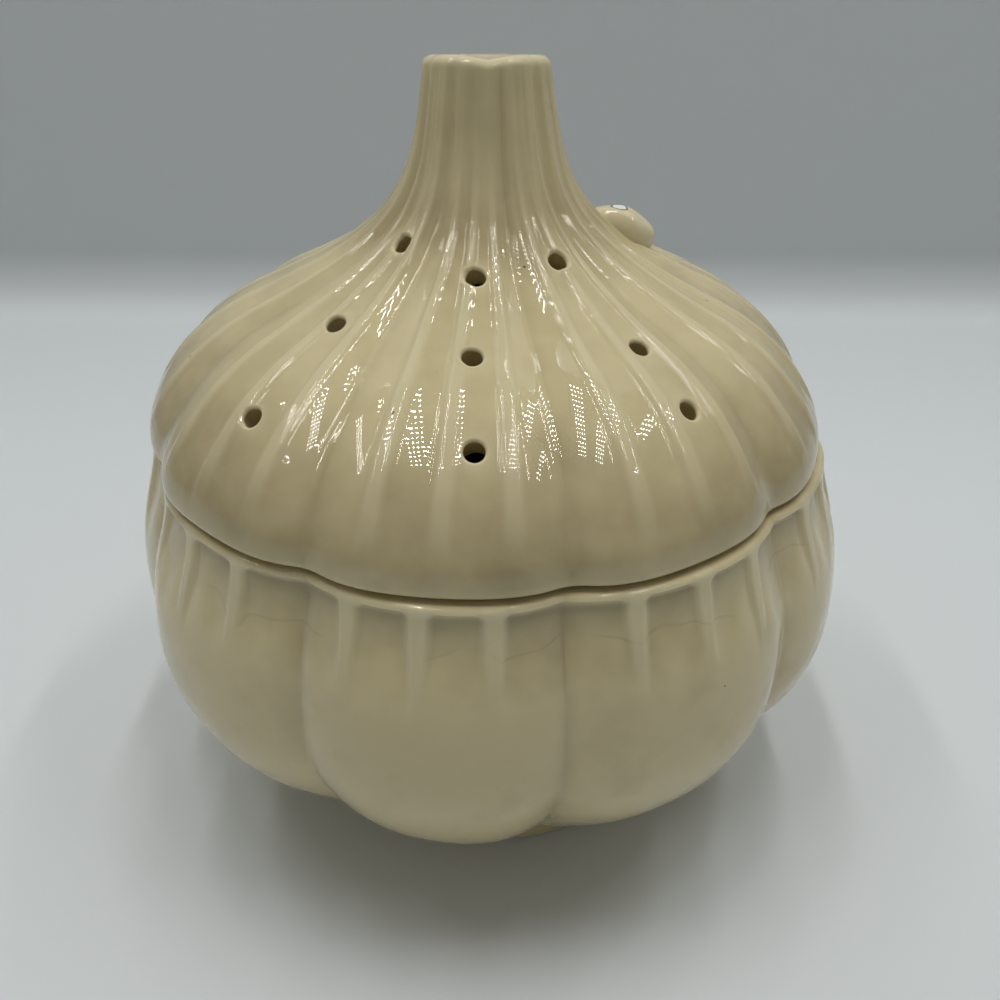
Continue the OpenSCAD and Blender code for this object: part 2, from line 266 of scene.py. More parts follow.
def turned(name, outline):
    """A closed body of revolution: an edge extruded from point to point, then spun."""
    deselect()
    bpy.ops.mesh.primitive_plane_add(size=MM, location=(0, 0, 0))
    piece = bpy.context.object
    piece.name = piece.data.name = name
    bpy.ops.object.mode_set(mode="EDIT")
    bpy.ops.mesh.merge(type="CENTER")
    bpy.ops.transform.translate(value=(outline[0][0], 0, outline[0][1]))
    for (r, z), (next_r, next_z) in zip(outline, outline[1:]):
        bpy.ops.mesh.extrude_region_move(
            TRANSFORM_OT_translate={"value": (next_r - r, 0, next_z - z)})
    bpy.ops.object.mode_set(mode="OBJECT")
    wheel = piece.modifiers.new("Wheel", "SCREW")
    wheel.angle, wheel.axis = 2 * math.pi, "Z"
    wheel.steps = wheel.render_steps = COLUMNS
    wheel.use_merge_vertices, wheel.merge_threshold = True, MM / 1000
    bpy.ops.object.modifier_apply(modifier=wheel.name)
    bpy.ops.object.mode_set(mode="EDIT")
    bpy.ops.mesh.select_all(action="SELECT")
    bpy.ops.mesh.normals_make_consistent(inside=False)
    bpy.ops.object.mode_set(mode="OBJECT")
    return piece


def corners(piece):
    co = np.empty(len(piece.data.vertices) * 3)
    piece.data.vertices.foreach_get("co", co)
    return co.reshape(-1, 3)


def mark(piece, name, values):
    """Keeps a number per vertex on the piece, for its glaze to read."""
    spot = piece.data.attributes.new(name, "FLOAT", "POINT")
    spot.data.foreach_set("value", np.asarray(values, np.float32))


class Clay:
    """The rows and columns of a turned piece, so that clay can be pressed row by row."""

    def __init__(self, piece, outline, creases, shifts, top_creases=None, rise=None):
        self.piece = piece
        co = corners(piece)
        rows = np.array(outline)
        r = np.hypot(co[:, 0], co[:, 1])
        self.row = np.empty(len(co), int)
        for part in np.array_split(np.arange(len(co)), 40):
            away = (r[part, None] - rows[:, 0]) ** 2 + (co[part, None, 2] - rows[:, 1]) ** 2
            self.row[part] = away.argmin(1)
        self.r, self.z = rows[self.row, 0], rows[self.row, 1]
        turn = np.degrees(np.arctan2(co[:, 0], -co[:, 1]))
        column = np.round(turn / 360 * COLUMNS).astype(int) % COLUMNS
        gap, strip = column // STRIPS_PER_GAP, (column % STRIPS_PER_GAP) / STRIPS_PER_GAP
        clove, part = gap // (len(RIBS) + 1), gap % (len(RIBS) + 1)
        # Strips lie closer together near the ribs and creases
        strip = strip - 0.6 * np.sin(2 * np.pi * strip) / (2 * np.pi)
        self.strip = strip
        shift = np.array(shifts)[clove]
        stops = np.stack([0 * shift] + [share + shift for share in RIBS] + [1 + 0 * shift], 1)
        here = np.arange(len(co))
        self.share = mix(stops[here, part], stops[here, part + 1], strip)
        edges = np.array(tuple(creases) + (creases[0] + 360,), float)
        self.left, self.right = edges[clove], edges[clove + 1]
        if top_creases is not None:
            tops = np.array(tuple(top_creases) + (top_creases[0] + 360,), float)
            self.left = mix(self.left, tops[clove], rise(self.z))
            self.right = mix(self.right, tops[clove + 1], rise(self.z))
        self.width = self.right - self.left
        self.angle = self.left + self.share * self.width
        # Arc length, at the crest, to the nearest crease and the nearest rib
        self.to_crease = np.radians(np.minimum(self.share, 1 - self.share) * self.width) * self.r
        to_ribs = np.abs(self.share[:, None] - stops[:, 1:-1]).min(1)
        self.to_rib = np.radians(to_ribs * self.width) * self.r
        self.clove, self.panel = clove, gap

    def place(self, r, z, lean=0.0):
        """Puts the clay at its new distances and heights, leaning to the left in places."""
        a = np.radians(self.angle)
        co = np.stack([r * np.sin(a) - lean, -r * np.cos(a), z], 1)
        self.piece.data.vertices.foreach_set("co", co.ravel())
        self.piece.data.update()


def panel(side, end, corner, flank):
    """How deep a place is in a panel with rounded corners: 0 at its edge, 1 on its bed. side and
    end are the distances inwards from its long edge and from its short one."""
    inner = np.where((side < corner) & (end < corner),
                     corner - np.hypot(corner - side, corner - end), np.minimum(side, end))
    return smooth(inner / flank)


def uneven(x, y, z, scale):
    """Slow unevenness of hand-pressed clay, about -1 to 1, from a few crossed waves."""
    x, y, z = x / scale, y / scale, z / scale
    return (np.sin(x + 1.7 * np.sin(z * 0.7 + 1)) * np.cos(y * 1.3 + z * 0.6 + np.sin(x * 0.5))
            + 0.5 * np.sin(2.1 * z + 1.3 * x - 0.8 * y)) / 1.5


def finish_surface(piece, angle=50):
    deselect()
    piece.select_set(True)
    bpy.context.view_layer.objects.active = piece
    bpy.ops.object.shade_smooth_by_angle(angle=math.radians(angle), keep_sharp_edges=False)


# ---- Jar ----------------------------------------------------------------------------------------
def jar_outline(s):
    """The jar's outline from the middle of its underside round to the middle of its floor, and
    for each point whether it takes part in the cloves."""
    foot_r, recess, floor = s.foot_width / 2, 2 * MM, 7 * MM
    inner = foot_r - s.foot_ring
    under, over = jar_under(s), jar_over(s)
    lip = s.edge_radius
    z = edge_height(s) - s.lid_gap - lip
    foot = [(0, recess), (inner * 0.5, recess), (inner - 1.6 * MM, recess),
            (inner - 0.5 * MM, recess - 0.5 * MM), (inner + 0.2 * MM, 0.35 * MM),
            (inner + 0.9 * MM, 0), (foot_r - 0.9 * MM, 0), (foot_r - 0.25 * MM, 0.25 * MM),
            (foot_r, 0.9 * MM), (foot_r, 2.4 * MM)]
    skin = [tuple(p) for p in bezier(under, np.linspace(0.06, 1, 36))[0]
            if p[0] > foot_r + 0.1 * MM]
    skin += [tuple(p) for p in bezier(over, np.linspace(0, 1, 44)[1:])[0]]
    skin += [tuple(p) for p in arc((s.rim_width / 2 - lip, z), lip, 0, 90, 6)[1:]]
    seat_r, mouth = s.mouth_width / 2 + s.seat_width, s.mouth_width / 2
    top = s.jar_height
    seat = [(seat_r + 0.5 * MM, z + lip), (seat_r, z + lip + 0.1 * MM), (seat_r - 0.3 * MM, top),
            (mouth + 1.4 * MM, top)]
    seat += [tuple(p) for p in arc((mouth + MM, top - MM), MM, 90, 180, 5)[1:]]
    wall = [(mouth, top - s.flange_depth + 1.5 * MM)]
    crease = lambda z: jar_crease(s, z)
    inside = np.concatenate([inset(over, np.linspace(0.68, 0, 10), crease, s.wall),
                             inset(under, np.linspace(0.97, 0.3, 14), crease, s.wall)])
    wall += [tuple(p) for p in inside if p[1] > floor + 3 * MM]
    last = wall[-1]
    wall += [(last[0] - 2.4 * MM, floor + 1.1 * MM), (last[0] - 5.5 * MM, floor + 0.2 * MM),
             (last[0] - 9 * MM, floor), (last[0] * 0.4, floor), (0, floor)]
    outline = foot + skin + seat + wall
    taking_part = [0.0] * len(foot) + [1.0] * len(skin) + [0.0] * (len(seat) + len(wall))
    return outline, taking_part


def model_jar(s):
    outline, taking_part = jar_outline(s)
    piece = turned("keeper_jar", outline)
    clay = Clay(piece, outline, JAR_CREASES, JAR_RIB_SHIFTS)
    skin = np.array(taking_part)[clay.row]
    top = edge_height(s) - s.lid_gap - s.edge_radius
    crease = valley(clay.share, 2.8, 0.965)
    low = top - clay.z                                  # distance down from the shoulder
    rib = 1.1 * MM * mix(1, 0.4, smooth(low / (16 * MM)))
    bed = panel(clay.to_rib - rib, low + 0.5 * MM, 1.6 * MM, 1.2 * MM)
    fade = smooth((17 * MM - low + 2 * MM * np.cos(clay.share * 37 + clay.clove)) / (12 * MM))
    sunk = s.pleat_depth * bed * fade
    r = clay.r - skin * (jar_crease(s, clay.z) * crease + sunk)
    x, y = r * np.sin(np.radians(clay.angle)), -r * np.cos(np.radians(clay.angle))
    r = r + skin * 0.25 * MM * uneven(x, y, clay.z, 11 * MM)
    clay.place(r, clay.z)
    # Glaze runs off the pleats and edges, and lies in the creases and under the shoulder. The
    # darkening under the shoulder is partly that glaze and partly painted shade of the lid's edge
    shade = 0.5 + 0.5 * np.sin(2.4 * clay.panel + 1.7 * clay.clove ** 2)
    # The last term, darkest right under the shoulder, is partly painted shade
    on_beds = bed * fade * (0.08 + 0.22 * shade + 1.0 * np.exp(-low / (2.5 * MM)))
    in_creases = 0.45 * np.exp(-clay.to_crease / (1.5 * MM))
    mark(piece, "pool_and_shade", skin * np.clip(on_beds + in_creases, 0, 1))
    on_pleats = 0.5 * (1 - smooth((clay.to_rib - rib) / (1.2 * MM))) * fade
    on_shoulder = 0.7 * smooth(1 - np.abs(low + 0.3 * MM) / (1.3 * MM))
    mark(piece, "thin", skin * np.clip(on_pleats + on_shoulder, 0, 1))
    mark(piece, "runs", skin * smooth(1 - np.abs(low - 9 * MM) / (5 * MM)))
    mark(piece, "bare", np.where((clay.z < 0.5 * MM) & (skin == 0), 1.0, 0.0))
    finish_surface(piece)
    return piece


# ---- Lid ----------------------------------------------------------------------------------------
def lid_outline(s):
    """The lid's outline from the middle of the hollow under the neck, down inside, round the
    flange and the seat, and up outside to the middle of the neck's top, how far each point takes
    part in the cloves, and the number of the first point of its skin."""
    dome, cove = lid_curves(s)
    top, edge = s.jar_height + s.lid_height, s.edge_radius
    flange_r = s.mouth_width / 2 - MM
    flange_in = flange_r - 4 * MM
    crease = lambda z: lid_crease(s, z) + s.flute_depth * flutes_begin(s, z)
    tip = s.neck_width / 2 - s.flute_depth - 4.5 * MM
    inside = np.concatenate([inset(cove, np.linspace(0.75, 0, 9), crease, 4.5 * MM),
                             inset(dome, np.linspace(0.95, 0.2, 9), crease, s.wall)])
    inside = [tuple(p) for p in inside if p[0] < flange_in - 0.5 * MM]
    hollow = [(0, top - 5.5 * MM), (tip * 0.6, top - 5.5 * MM - tip * 0.2),
              (tip, top - 5.5 * MM - tip)]
    hollow += inside + [(flange_in, inside[-1][1] - 2 * MM)]
    low = s.jar_height - s.flange_depth
    flange = [(flange_in, low + 0.8 * MM), (flange_in + 0.3 * MM, low + 0.2 * MM),
              (flange_in + 1.0 * MM, low), (flange_r - 1.0 * MM, low),
              (flange_r - 0.3 * MM, low + 0.2 * MM), (flange_r, low + 0.8 * MM),
              (flange_r, s.jar_height - 0.7 * MM),
              (flange_r + 0.6 * MM, s.jar_height)]
    seat_r, under = s.mouth_width / 2 + s.seat_width + 0.6 * MM, edge_height(s)
    flange += [(seat_r - 0.3 * MM, s.jar_height), (seat_r, under + 0.15 * MM),
               (seat_r + 0.3 * MM, under)]
    skin = [tuple(p) for p in arc((s.lid_width / 2 - edge, under + edge), edge, -90, 0, 6)]
    skin += [tuple(p) for p in bezier(dome, np.linspace(0, 1, 44)[1:])[0]]
    skin += [tuple(p) for p in bezier(cove, np.linspace(0, 1, 40)[1:])[0]]
    skin += [tuple(p) for p in arc((s.neck_width / 2 - 2 * MM, top - 2 * MM), 2 * MM, 0, 90, 7)[1:]]
    last = skin[-1]
    dish = [(last[0] - 1.6 * MM, top - 0.25 * MM), (last[0] - 3.5 * MM, top - 0.6 * MM),
            (last[0] - 6 * MM, top - 0.85 * MM), (0, top - 0.9 * MM)]
    outline = hollow + flange + skin + dish
    taking_part = [0.0] * (len(hollow) + len(flange)) + [1.0] * len(skin) + [0.6, 0.3, 0.1, 0]
    return outline, taking_part, len(hollow) + len(flange)


def model_lid(s):
    outline, taking_part, skin_start = lid_outline(s)
    piece = turned("keeper_lid", outline)
    rise = lambda z: smooth((z - s.jar_height - 18 * MM) / (34 * MM))
    clay = Clay(piece, outline, LID_CREASES, LID_RIB_SHIFTS, NECK_CREASES, rise)
    skin = np.array(taking_part)[clay.row]
    top = s.jar_height + s.lid_height
    edge = edge_height(s)
    # Arc length up the skin from the lid's edge, row by row
    rows = np.array(outline)
    step = np.hypot(*np.diff(rows, axis=0).T)
    climb = np.concatenate([[0], np.cumsum(np.where(np.arange(len(step)) >= skin_start, step, 0))])
    up = climb[clay.row]
    crease = valley(clay.share, 3.8, 0.86)
    spread = np.clip(clay.r / (s.lid_width / 2), 0.1, 1)
    rib = mix(0.1, 0.8, spread) * MM
    flank = mix(0.5, 1.7, spread) * MM
    bed = smooth((clay.to_rib - rib) / flank) * smooth((up - 2 * MM) / (18 * MM))
    ribbed = (smooth((top - 10 * MM - clay.z) / (26 * MM))
              * smooth((clay.z - edge - 0.6 * MM) / (6 * MM)))
    lifted = 0.6 * s.rib_height * ribbed
    # Each clove has a flute in its crease and a shallower one across it, with fine ones between
    flute_at, fine_flutes = 0.4, 5.3
    between = np.where(clay.share < flute_at, clay.share / flute_at,
                       (clay.share - flute_at) / (1 - flute_at))
    groove = ((0.5 + 0.5 * np.cos(2 * np.pi * between)) ** 1.4
              * (1 - 0.3 * smooth(1 - np.abs(clay.share - flute_at) / 0.2)))
    fluted = flutes_begin(s, clay.z) * smooth((top - 0.5 * MM - clay.z) / (5 * MM))
    fine = (0.5 + 0.5 * np.cos(2 * np.pi * (fine_flutes * clay.share + 0.37 * clay.clove))) ** 2
    groove = np.clip(groove + 0.2 * fine, 0, 1.2)
    # Each panel slants a little, like skins that overlap
    slant = 1 + mix(-0.4, 0.4, clay.strip) * smooth(clay.to_crease / (2.5 * MM * spread))
    sunk = s.rib_height * bed * ribbed * slant + s.flute_depth * fluted * groove
    r = clay.r - skin * (lid_crease(s, clay.z) * crease + sunk - lifted)
    x, y = r * np.sin(np.radians(clay.angle)), -r * np.cos(np.radians(clay.angle))
    steadier = np.clip(clay.r / (30 * MM), 0.15, 1)      # towards the neck
    r = r + skin * 0.25 * MM * uneven(x, y, clay.z, 9 * MM) * steadier
    # The dip in the front of the neck's top edge
    outer = clay.row >= skin_start
    dip_depth = 0.7 * MM
    dip = (np.clip(1 - np.abs(x - 0.3 * MM) / (5 * MM), 0, 1) ** 1.2
           * smooth((-y - 2 * MM) / (5 * MM)) * smooth((clay.z - top + 3.6 * MM) / (3.3 * MM)))
    slope = s.neck_tilt / s.neck_width * smooth((clay.z - top + s.neck_width) / s.neck_width)
    z = clay.z + outer * (slope * -y - dip_depth * dip)
    leaning = 1.6 * s.turn_height                       # the part of the lid that leans
    lean = s.lid_lean * smooth((s.jar_height + leaning - clay.z) / leaning)
    clay.place(r, z, lean * skin)
    # Glaze is thick in creases and in some panels, and breaks along the ribs and edges. Low on
    # the lid and where the shoulder turns up into the neck, the darker colour is painted shade
    shade = 0.5 + 0.5 * np.sin(2.4 * clay.panel + 1.1 * clay.clove ** 2)
    cove = s.jar_height + s.turn_height + 14 * MM
    on_beds = 0.25 * shade * bed * ribbed
    # Painted shade: darker low on the lid, where less light falls
    painted_low_shade = (0.85 * smooth(1 - (up - 6 * MM) / (26 * MM))
                * smooth((up + 1 * MM) / (7 * MM)))
    in_creases = 0.4 * spread * np.exp(-clay.to_crease / (1.2 * MM))
    in_flutes = 0.15 * fluted * groove
    # Painted shade where the shoulder turns up into the neck
    painted_cove_shade = 0.6 * smooth(1 - np.abs(clay.z - cove) / (9 * MM))
    mark(piece, "pool_and_shade", skin * np.clip(on_beds + painted_low_shade + in_creases + in_flutes + painted_cove_shade,
                                       0, 1))
    on_ribs = (0.5 * (1 - smooth((clay.to_rib - rib) / flank)) * ribbed
               * smooth((up - 4 * MM) / (16 * MM)))
    on_neck = 0.15 * smooth((clay.z - cove - 4 * MM) / (8 * MM))
    # Paler on the neck's top edge: thin glaze, and a painted highlight along the dip's edges
    top_edge_and_highlight = smooth((clay.z - top + 2.2 * MM) / (2 * MM))
    on_edge = 0.3 * smooth(1 - (clay.z - edge) / (2.5 * MM))
    mark(piece, "thin", skin * np.clip(on_ribs + on_neck + top_edge_and_highlight + on_edge, 0, 1))
    mark(piece, "runs", skin * 0)                       # only the jar's glaze ran
    flange_end = s.jar_height - s.flange_depth + 0.5 * MM
    mark(piece, "bare", np.where((clay.z < flange_end) & (skin == 0), 1.0, 0.0))
    finish_surface(piece)
    return piece


def shoulder_spot(s, distance, direction):
    """A place on the lid's crests at a distance from the middle, and the way out of the clay."""
    dome, cove = lid_curves(s)
    curve = dome if distance > s.turn_width / 2 else cove
    places = np.linspace(0, 1, 2000)
    at, way = bezier(curve, places)
    k = np.abs(at[:, 0] - distance).argmin()
    out = np.array([way[k][1], -way[k][0]])
    a = math.radians(direction)
    flat = Vector((math.sin(a), -math.cos(a), 0))
    return flat * at[k][0] + Vector((0, 0, at[k][1])), flat * out[0] + Vector((0, 0, out[1]))


def cut_air_holes(s, lid):
    """Bores the air holes square to the shoulder and rounds the clay into each of them."""
    bead, thinned = 0.6 * MM, 0.55      # radius of a hole's rounded rim, and how thin its glaze is
    middle = s.vent_width / 2 + bead
    skin = corners(lid)
    thin = np.empty(len(skin), np.float32)
    lid.data.attributes["thin"].data.foreach_get("value", thin)
    cutters, rims = [], []
    for direction, distance in AIR_HOLES:
        spot, out = shoulder_spot(s, distance * MM, direction)
        turn = out.to_track_quat("Z", "Y").to_euler()
        deselect()
        bpy.ops.mesh.primitive_cylinder_add(vertices=48, radius=middle, depth=22 * MM,
                                            location=spot, rotation=turn)
        cutters.append(bpy.context.object)
        deselect()
        bpy.ops.mesh.primitive_torus_add(major_segments=48, minor_segments=20,
                                         major_radius=middle, minor_radius=bead,
                                         location=spot, rotation=turn)
        rim = bpy.context.object
        rims.append(rim)
        bpy.ops.object.transform_apply(location=True, rotation=True)
        # The rim follows the ribs that it crosses
        co = corners(rim) - np.array(spot)
        flat = co - np.outer(co @ np.array(out), out)
        ring = flat / np.linalg.norm(flat, axis=1)[:, None] * middle
        found = {}
        for k, way in enumerate(ring):
            key = tuple(np.round(way / (0.02 * MM)).astype(int))
            if key not in found:
                start = spot + Vector(way) + out * 5 * MM
                hit, at, _, _ = lid.ray_cast(start, -out, distance=10 * MM)
                found[key] = (at - spot).dot(out) if hit else 0.0
            co[k] += (found[key] - bead) * np.array(out)
        rim.data.vertices.foreach_set("co", (co + np.array(spot)).ravel())
        rim.data.update()
        mark(rim, "thin", [thinned] * len(rim.data.vertices))
        away = skin - np.array(spot)
        away = np.linalg.norm(away - np.outer(away @ np.array(out), out), axis=1)
        thin = np.maximum(thin, thinned * np.exp(-(away / (3.1 * MM)) ** 4))
    lid.data.attributes["thin"].data.foreach_set("value", thin.astype(np.float32))
    deselect()
    for cutter in cutters:
        cutter.select_set(True)
    bpy.context.view_layer.objects.active = cutters[0]
    bpy.ops.object.join()
    bores = bpy.context.object
    deselect()
    lid.select_set(True)
    bpy.context.view_layer.objects.active = lid
    cut = lid.modifiers.new("Air holes", "BOOLEAN")
    cut.operation, cut.solver, cut.object = "DIFFERENCE", "EXACT", bores
    bpy.ops.object.modifier_apply(modifier=cut.name)
    bpy.data.objects.remove(bores)
    for rim in rims:
        rim.select_set(True)
    bpy.ops.object.join()


# ---- Sprig --------------------------------------------------------------------------------------
def model_sprig(s):
    """A bean of clay that lies up the slope of the shoulder, its underside bedded in the lid."""
    spot, out = shoulder_spot(s, SPRIG_DISTANCE * MM, SPRIG_DIRECTION)
    deselect()
    bpy.ops.mesh.primitive_uv_sphere_add(segments=64, ring_count=40, radius=1, location=(0, 0, 0))
    piece = bpy.context.object
    piece.name = piece.data.name = "keeper_sprig"
    co = corners(piece)
    a = math.radians(SPRIG_DIRECTION)
    flat = Vector((math.sin(a), -math.cos(a), 0))
    along = (flat - out * flat.dot(out)).normalized()
    along = (along + out * SPRIG_TILT).normalized()
    out = (out - along * out.dot(along)).normalized()
    across = out.cross(along)
    half_length, radius = 7.0 * MM, 4.0 * MM
    share = co[:, 2]
    body = np.sqrt(np.clip(1 - share ** 2, 0, 1)) ** 0.8
    ring = np.hypot(co[:, 0], co[:, 1]) + 1e-9
    u, v = co[:, 0] / ring * body, co[:, 1] / ring * body
    centre = spot + out * (radius - 2.7 * MM - 1.3 * MM)
    lump = 1 + 0.05 * np.sin(5 * share + 2 * u) + 0.04 * np.sin(7 * v + 3 * share)
    placed = (np.array(centre) + np.outer(share * half_length, along)
              + np.outer(u * radius * lump, out) + np.outer(v * radius * lump, across))
    piece.data.vertices.foreach_set("co", placed.ravel())
    piece.data.update()
    # Paler towards its top, partly a painted highlight, and darker towards the lid
    mark(piece, "thin", np.clip(0.75 + 0.25 * u, 0, 1))
    mark(piece, "pool_and_shade", np.clip(-u * 0.4, 0, 1))
    mark(piece, "runs", 0 * u)
    mark(piece, "bare", 0 * u)
    # A white spot on its top, with a dark line where the spot ends
    mark(piece, "white", smooth(1.35 - np.hypot((share + 0.32) / 0.2, v / 0.36)))
    finish_surface(piece, 80)
    return piece


# ---- Materials ----------------------------------------------------------------------------------
class Wire:
    """An output socket that takes part in sums, so that shader maths reads as an expression."""

    def __init__(self, nodes, socket):
        self.nodes, self.socket = nodes, socket

    def _maths(self, operation, *values):
        return self.nodes.add("ShaderNodeMath", {"operation": operation}, dict(enumerate(values)))

    def __add__(self, other):
        return self._maths("ADD", self, other)

    def __sub__(self, other):
        return self._maths("SUBTRACT", self, other)

    def __mul__(self, other):
        return self._maths("MULTIPLY", self, other)

    def __rsub__(self, other):
        return self._maths("SUBTRACT", other, self)

    __radd__, __rmul__ = __add__, __mul__

    def size(self):
        return self._maths("ABSOLUTE", self)

    def above(self, edge, softness):
        """0 under the edge and 1 above it, with a soft step."""
        return self.nodes.add("ShaderNodeMapRange", {"interpolation_type": "SMOOTHSTEP"},
                              {"Value": self, "From Min": edge, "From Max": edge + softness})

    def below(self, edge, softness):
        return 1 - self.above(edge - softness, softness)


class Nodes:
    """The node tree of one material."""

    def __init__(self, material):
        material.use_nodes = True
        self.tree = material.node_tree
        self.tree.nodes.clear()

    def add(self, kind, settings=None, values=None, output=0):
        node = self.tree.nodes.new(kind)
        for name, value in (settings or {}).items():
            if name == "stops":
                ramp = node.color_ramp
                for i, (place, shade) in enumerate(value):
                    stop = ramp.elements[i] if i < 2 else ramp.elements.new(place)
                    stop.position, stop.color = place, (*shade, 1)
            else:
                setattr(node, name, value)
        for key, value in (values or {}).items():
            socket = node.inputs[key]
            if isinstance(value, Wire):
                self.tree.links.new(value.socket, socket)
            elif socket.type == "RGBA" and len(value) == 3:
                socket.default_value = (*value, 1)
            else:
                socket.default_value = value
        return Wire(self, node.outputs[output])

    def mixed(self, share, a, b):
        return self.add("ShaderNodeMix", {"data_type": "RGBA", "clamp_factor": True},
                        {0: share, 6: a, 7: b}, output=2)

    def attribute(self, name):
        return self.add("ShaderNodeAttribute", {"attribute_name": name}, output=2)

    def finish(self, shader):
        end = self.tree.nodes.new("ShaderNodeOutputMaterial")
        self.tree.links.new(shader.socket, end.inputs["Surface"])


def glaze_material(name, finish, spotted=False):
    """Glossy ivory glaze over cast clay: darker and yellower where it lies thick, paler where it
    breaks over ribs and edges, faintly clouded, with iron specks and a slightly wavy surface. The
    darker colour also serves as painted shade, and the paler as painted highlight in places.
    A spotted one also has a white spot with a dark line round it."""
    material = bpy.data.materials.new(name)
    n = Nodes(material)
    place = n.add("ShaderNodeTexCoord", output=3)

    def noise(scale, detail, **more):
        return n.add("ShaderNodeTexNoise", None,
                     {"Vector": place, "Scale": scale, "Detail": detail, **more})

    pool_and_shade, thin, runs, bare = (n.attribute(a) for a in ("pool_and_shade", "thin", "runs", "bare"))
    cloud, fine = noise(38.0, 3.0, Roughness=0.55), noise(420.0, 2.0)
    drift, mottle, wave = noise(85.0, 1.0), noise(130.0, 2.0), noise(120.0, 1.5)
    height = n.add("ShaderNodeSeparateXYZ", None, {0: place}, output=2)
    run = (height + drift * RUN_DRIFT - RUN_HEIGHT).size()
    run_edge = run.below(0.4 * MM, 0.35 * MM) * runs.above(0.05, 0.3) * cloud.above(0.44, 0.08)
    # Towards the pooled colour where the glaze lies thick, and where shade is painted in
    pooled_and_shaded_share = pool_and_shade * 0.85 + run_edge * 0.22 + (cloud - 0.5) * 0.8 + (mottle - 0.5) * 0.8
    base = n.mixed(pooled_and_shaded_share, finish.glaze, finish.pooled_and_shaded)
    base = n.mixed(thin * (0.55 + cloud * 0.4), base, finish.broken_and_highlight)
    base = n.mixed((fine - 0.5) * 0.25, base, finish.broken_and_highlight)
    # Each cell may hold a speck at its middle, and only a few cells do
    dots, rarity = (n.add("ShaderNodeTexVoronoi", {"feature": "F1"},
                          {"Vector": place, "Scale": 150.0, "Randomness": 1.0}, output=k)
                    for k in (0, 1))
    rare = n.add("ShaderNodeSeparateColor", None, {0: rarity})
    specks = dots.below(0.05, 0.03) * rare.above(0.84, 0.01)
    base = n.mixed(specks * 0.8, base, finish.speck)
    base = n.mixed(bare, base, finish.clay)
    if spotted:
        white = n.attribute("white")
        base = n.mixed(white.above(0.05, 0.2) * white.below(0.5, 0.2), base, finish.speck)
        base = n.mixed(white.above(0.4, 0.2), base, finish.white_spot)
    gloss = 0.014 + (cloud - 0.5) * 0.015 + bare * 0.5
    swell, grain, run_step = 0.03 * MM, 0.0015 * MM, 0.03 * MM
    bump = n.add("ShaderNodeBump", None,
                 {"Strength": 1.0, "Distance": 1.0,
                  "Height": wave * swell + fine * grain - run_edge * run_step})
    n.finish(n.add("ShaderNodeBsdfPrincipled", None,
                   {"Base Color": base, "Roughness": gloss, "IOR": 1.52, "Normal": bump}))
    return material


def floor_material(finish):
    """Matt table top that turns into the colour of the wall behind it. The back of the table and
    the wall are darker as painted shade.
    """
    material = bpy.data.materials.new("Floor")
    n = Nodes(material)
    place = n.add("ShaderNodeTexCoord", output=3)
    back, height = (n.add("ShaderNodeSeparateXYZ", None, {0: place}, output=k) for k in (1, 2))
    # Painted shade: darker towards the back and up the wall
    base = n.mixed(back.above(0.08, 0.17) * 0.3, finish.floor, finish.wall)
    base = n.mixed(height.above(-0.003, 0.015), base, finish.wall)
    n.finish(n.add("ShaderNodeBsdfPrincipled", None,
                   {"Base Color": base, "Roughness": 0.75, "Specular IOR Level": 0.25}))
    return material


def dress(piece, material, node, body):
    """Glazes a piece, sets it on its body and hides its CAD node."""
    piece.data.materials.clear()
    piece.data.materials.append(material)
    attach(piece, body)
    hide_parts(node)


# ---- Operators ----------------------------------------------------------------------------------
class KEEPER_OT_jar(bpy.types.Operator):
    """Turn the jar, press its cloves and pleats, and glaze it"""
    bl_idname = "keeper.jar"
    bl_label = "Make the jar"

    def execute(self, context):
        piece = model_jar(context.scene.keeper_sizes)
        glaze = glaze_material("Jar glaze", context.scene.keeper_finish)
        dress(piece, glaze, "jar", "jar")
        return {"FINISHED"}


class KEEPER_OT_lid(bpy.types.Operator):
    """Turn the lid, press its cloves, ribs and flutes, bore its air holes and glaze it"""
    bl_idname = "keeper.lid"
    bl_label = "Make the lid"

    def execute(self, context):
        sizes = context.scene.keeper_sizes
        piece = model_lid(sizes)
        cut_air_holes(sizes, piece)
        glaze = glaze_material("Lid glaze", context.scene.keeper_finish)
        dress(piece, glaze, "lid", "lid")
        return {"FINISHED"}


class KEEPER_OT_sprig(bpy.types.Operator):
    """Shape the lump of clay on the lid's shoulder and glaze it"""
    bl_idname = "keeper.sprig"
    bl_label = "Make the sprig"

    def execute(self, context):
        piece = model_sprig(context.scene.keeper_sizes)
        glaze = glaze_material("Sprig glaze", context.scene.keeper_finish, spotted=True)
        dress(piece, glaze, "lid_sprig", "lid")
        return {"FINISHED"}


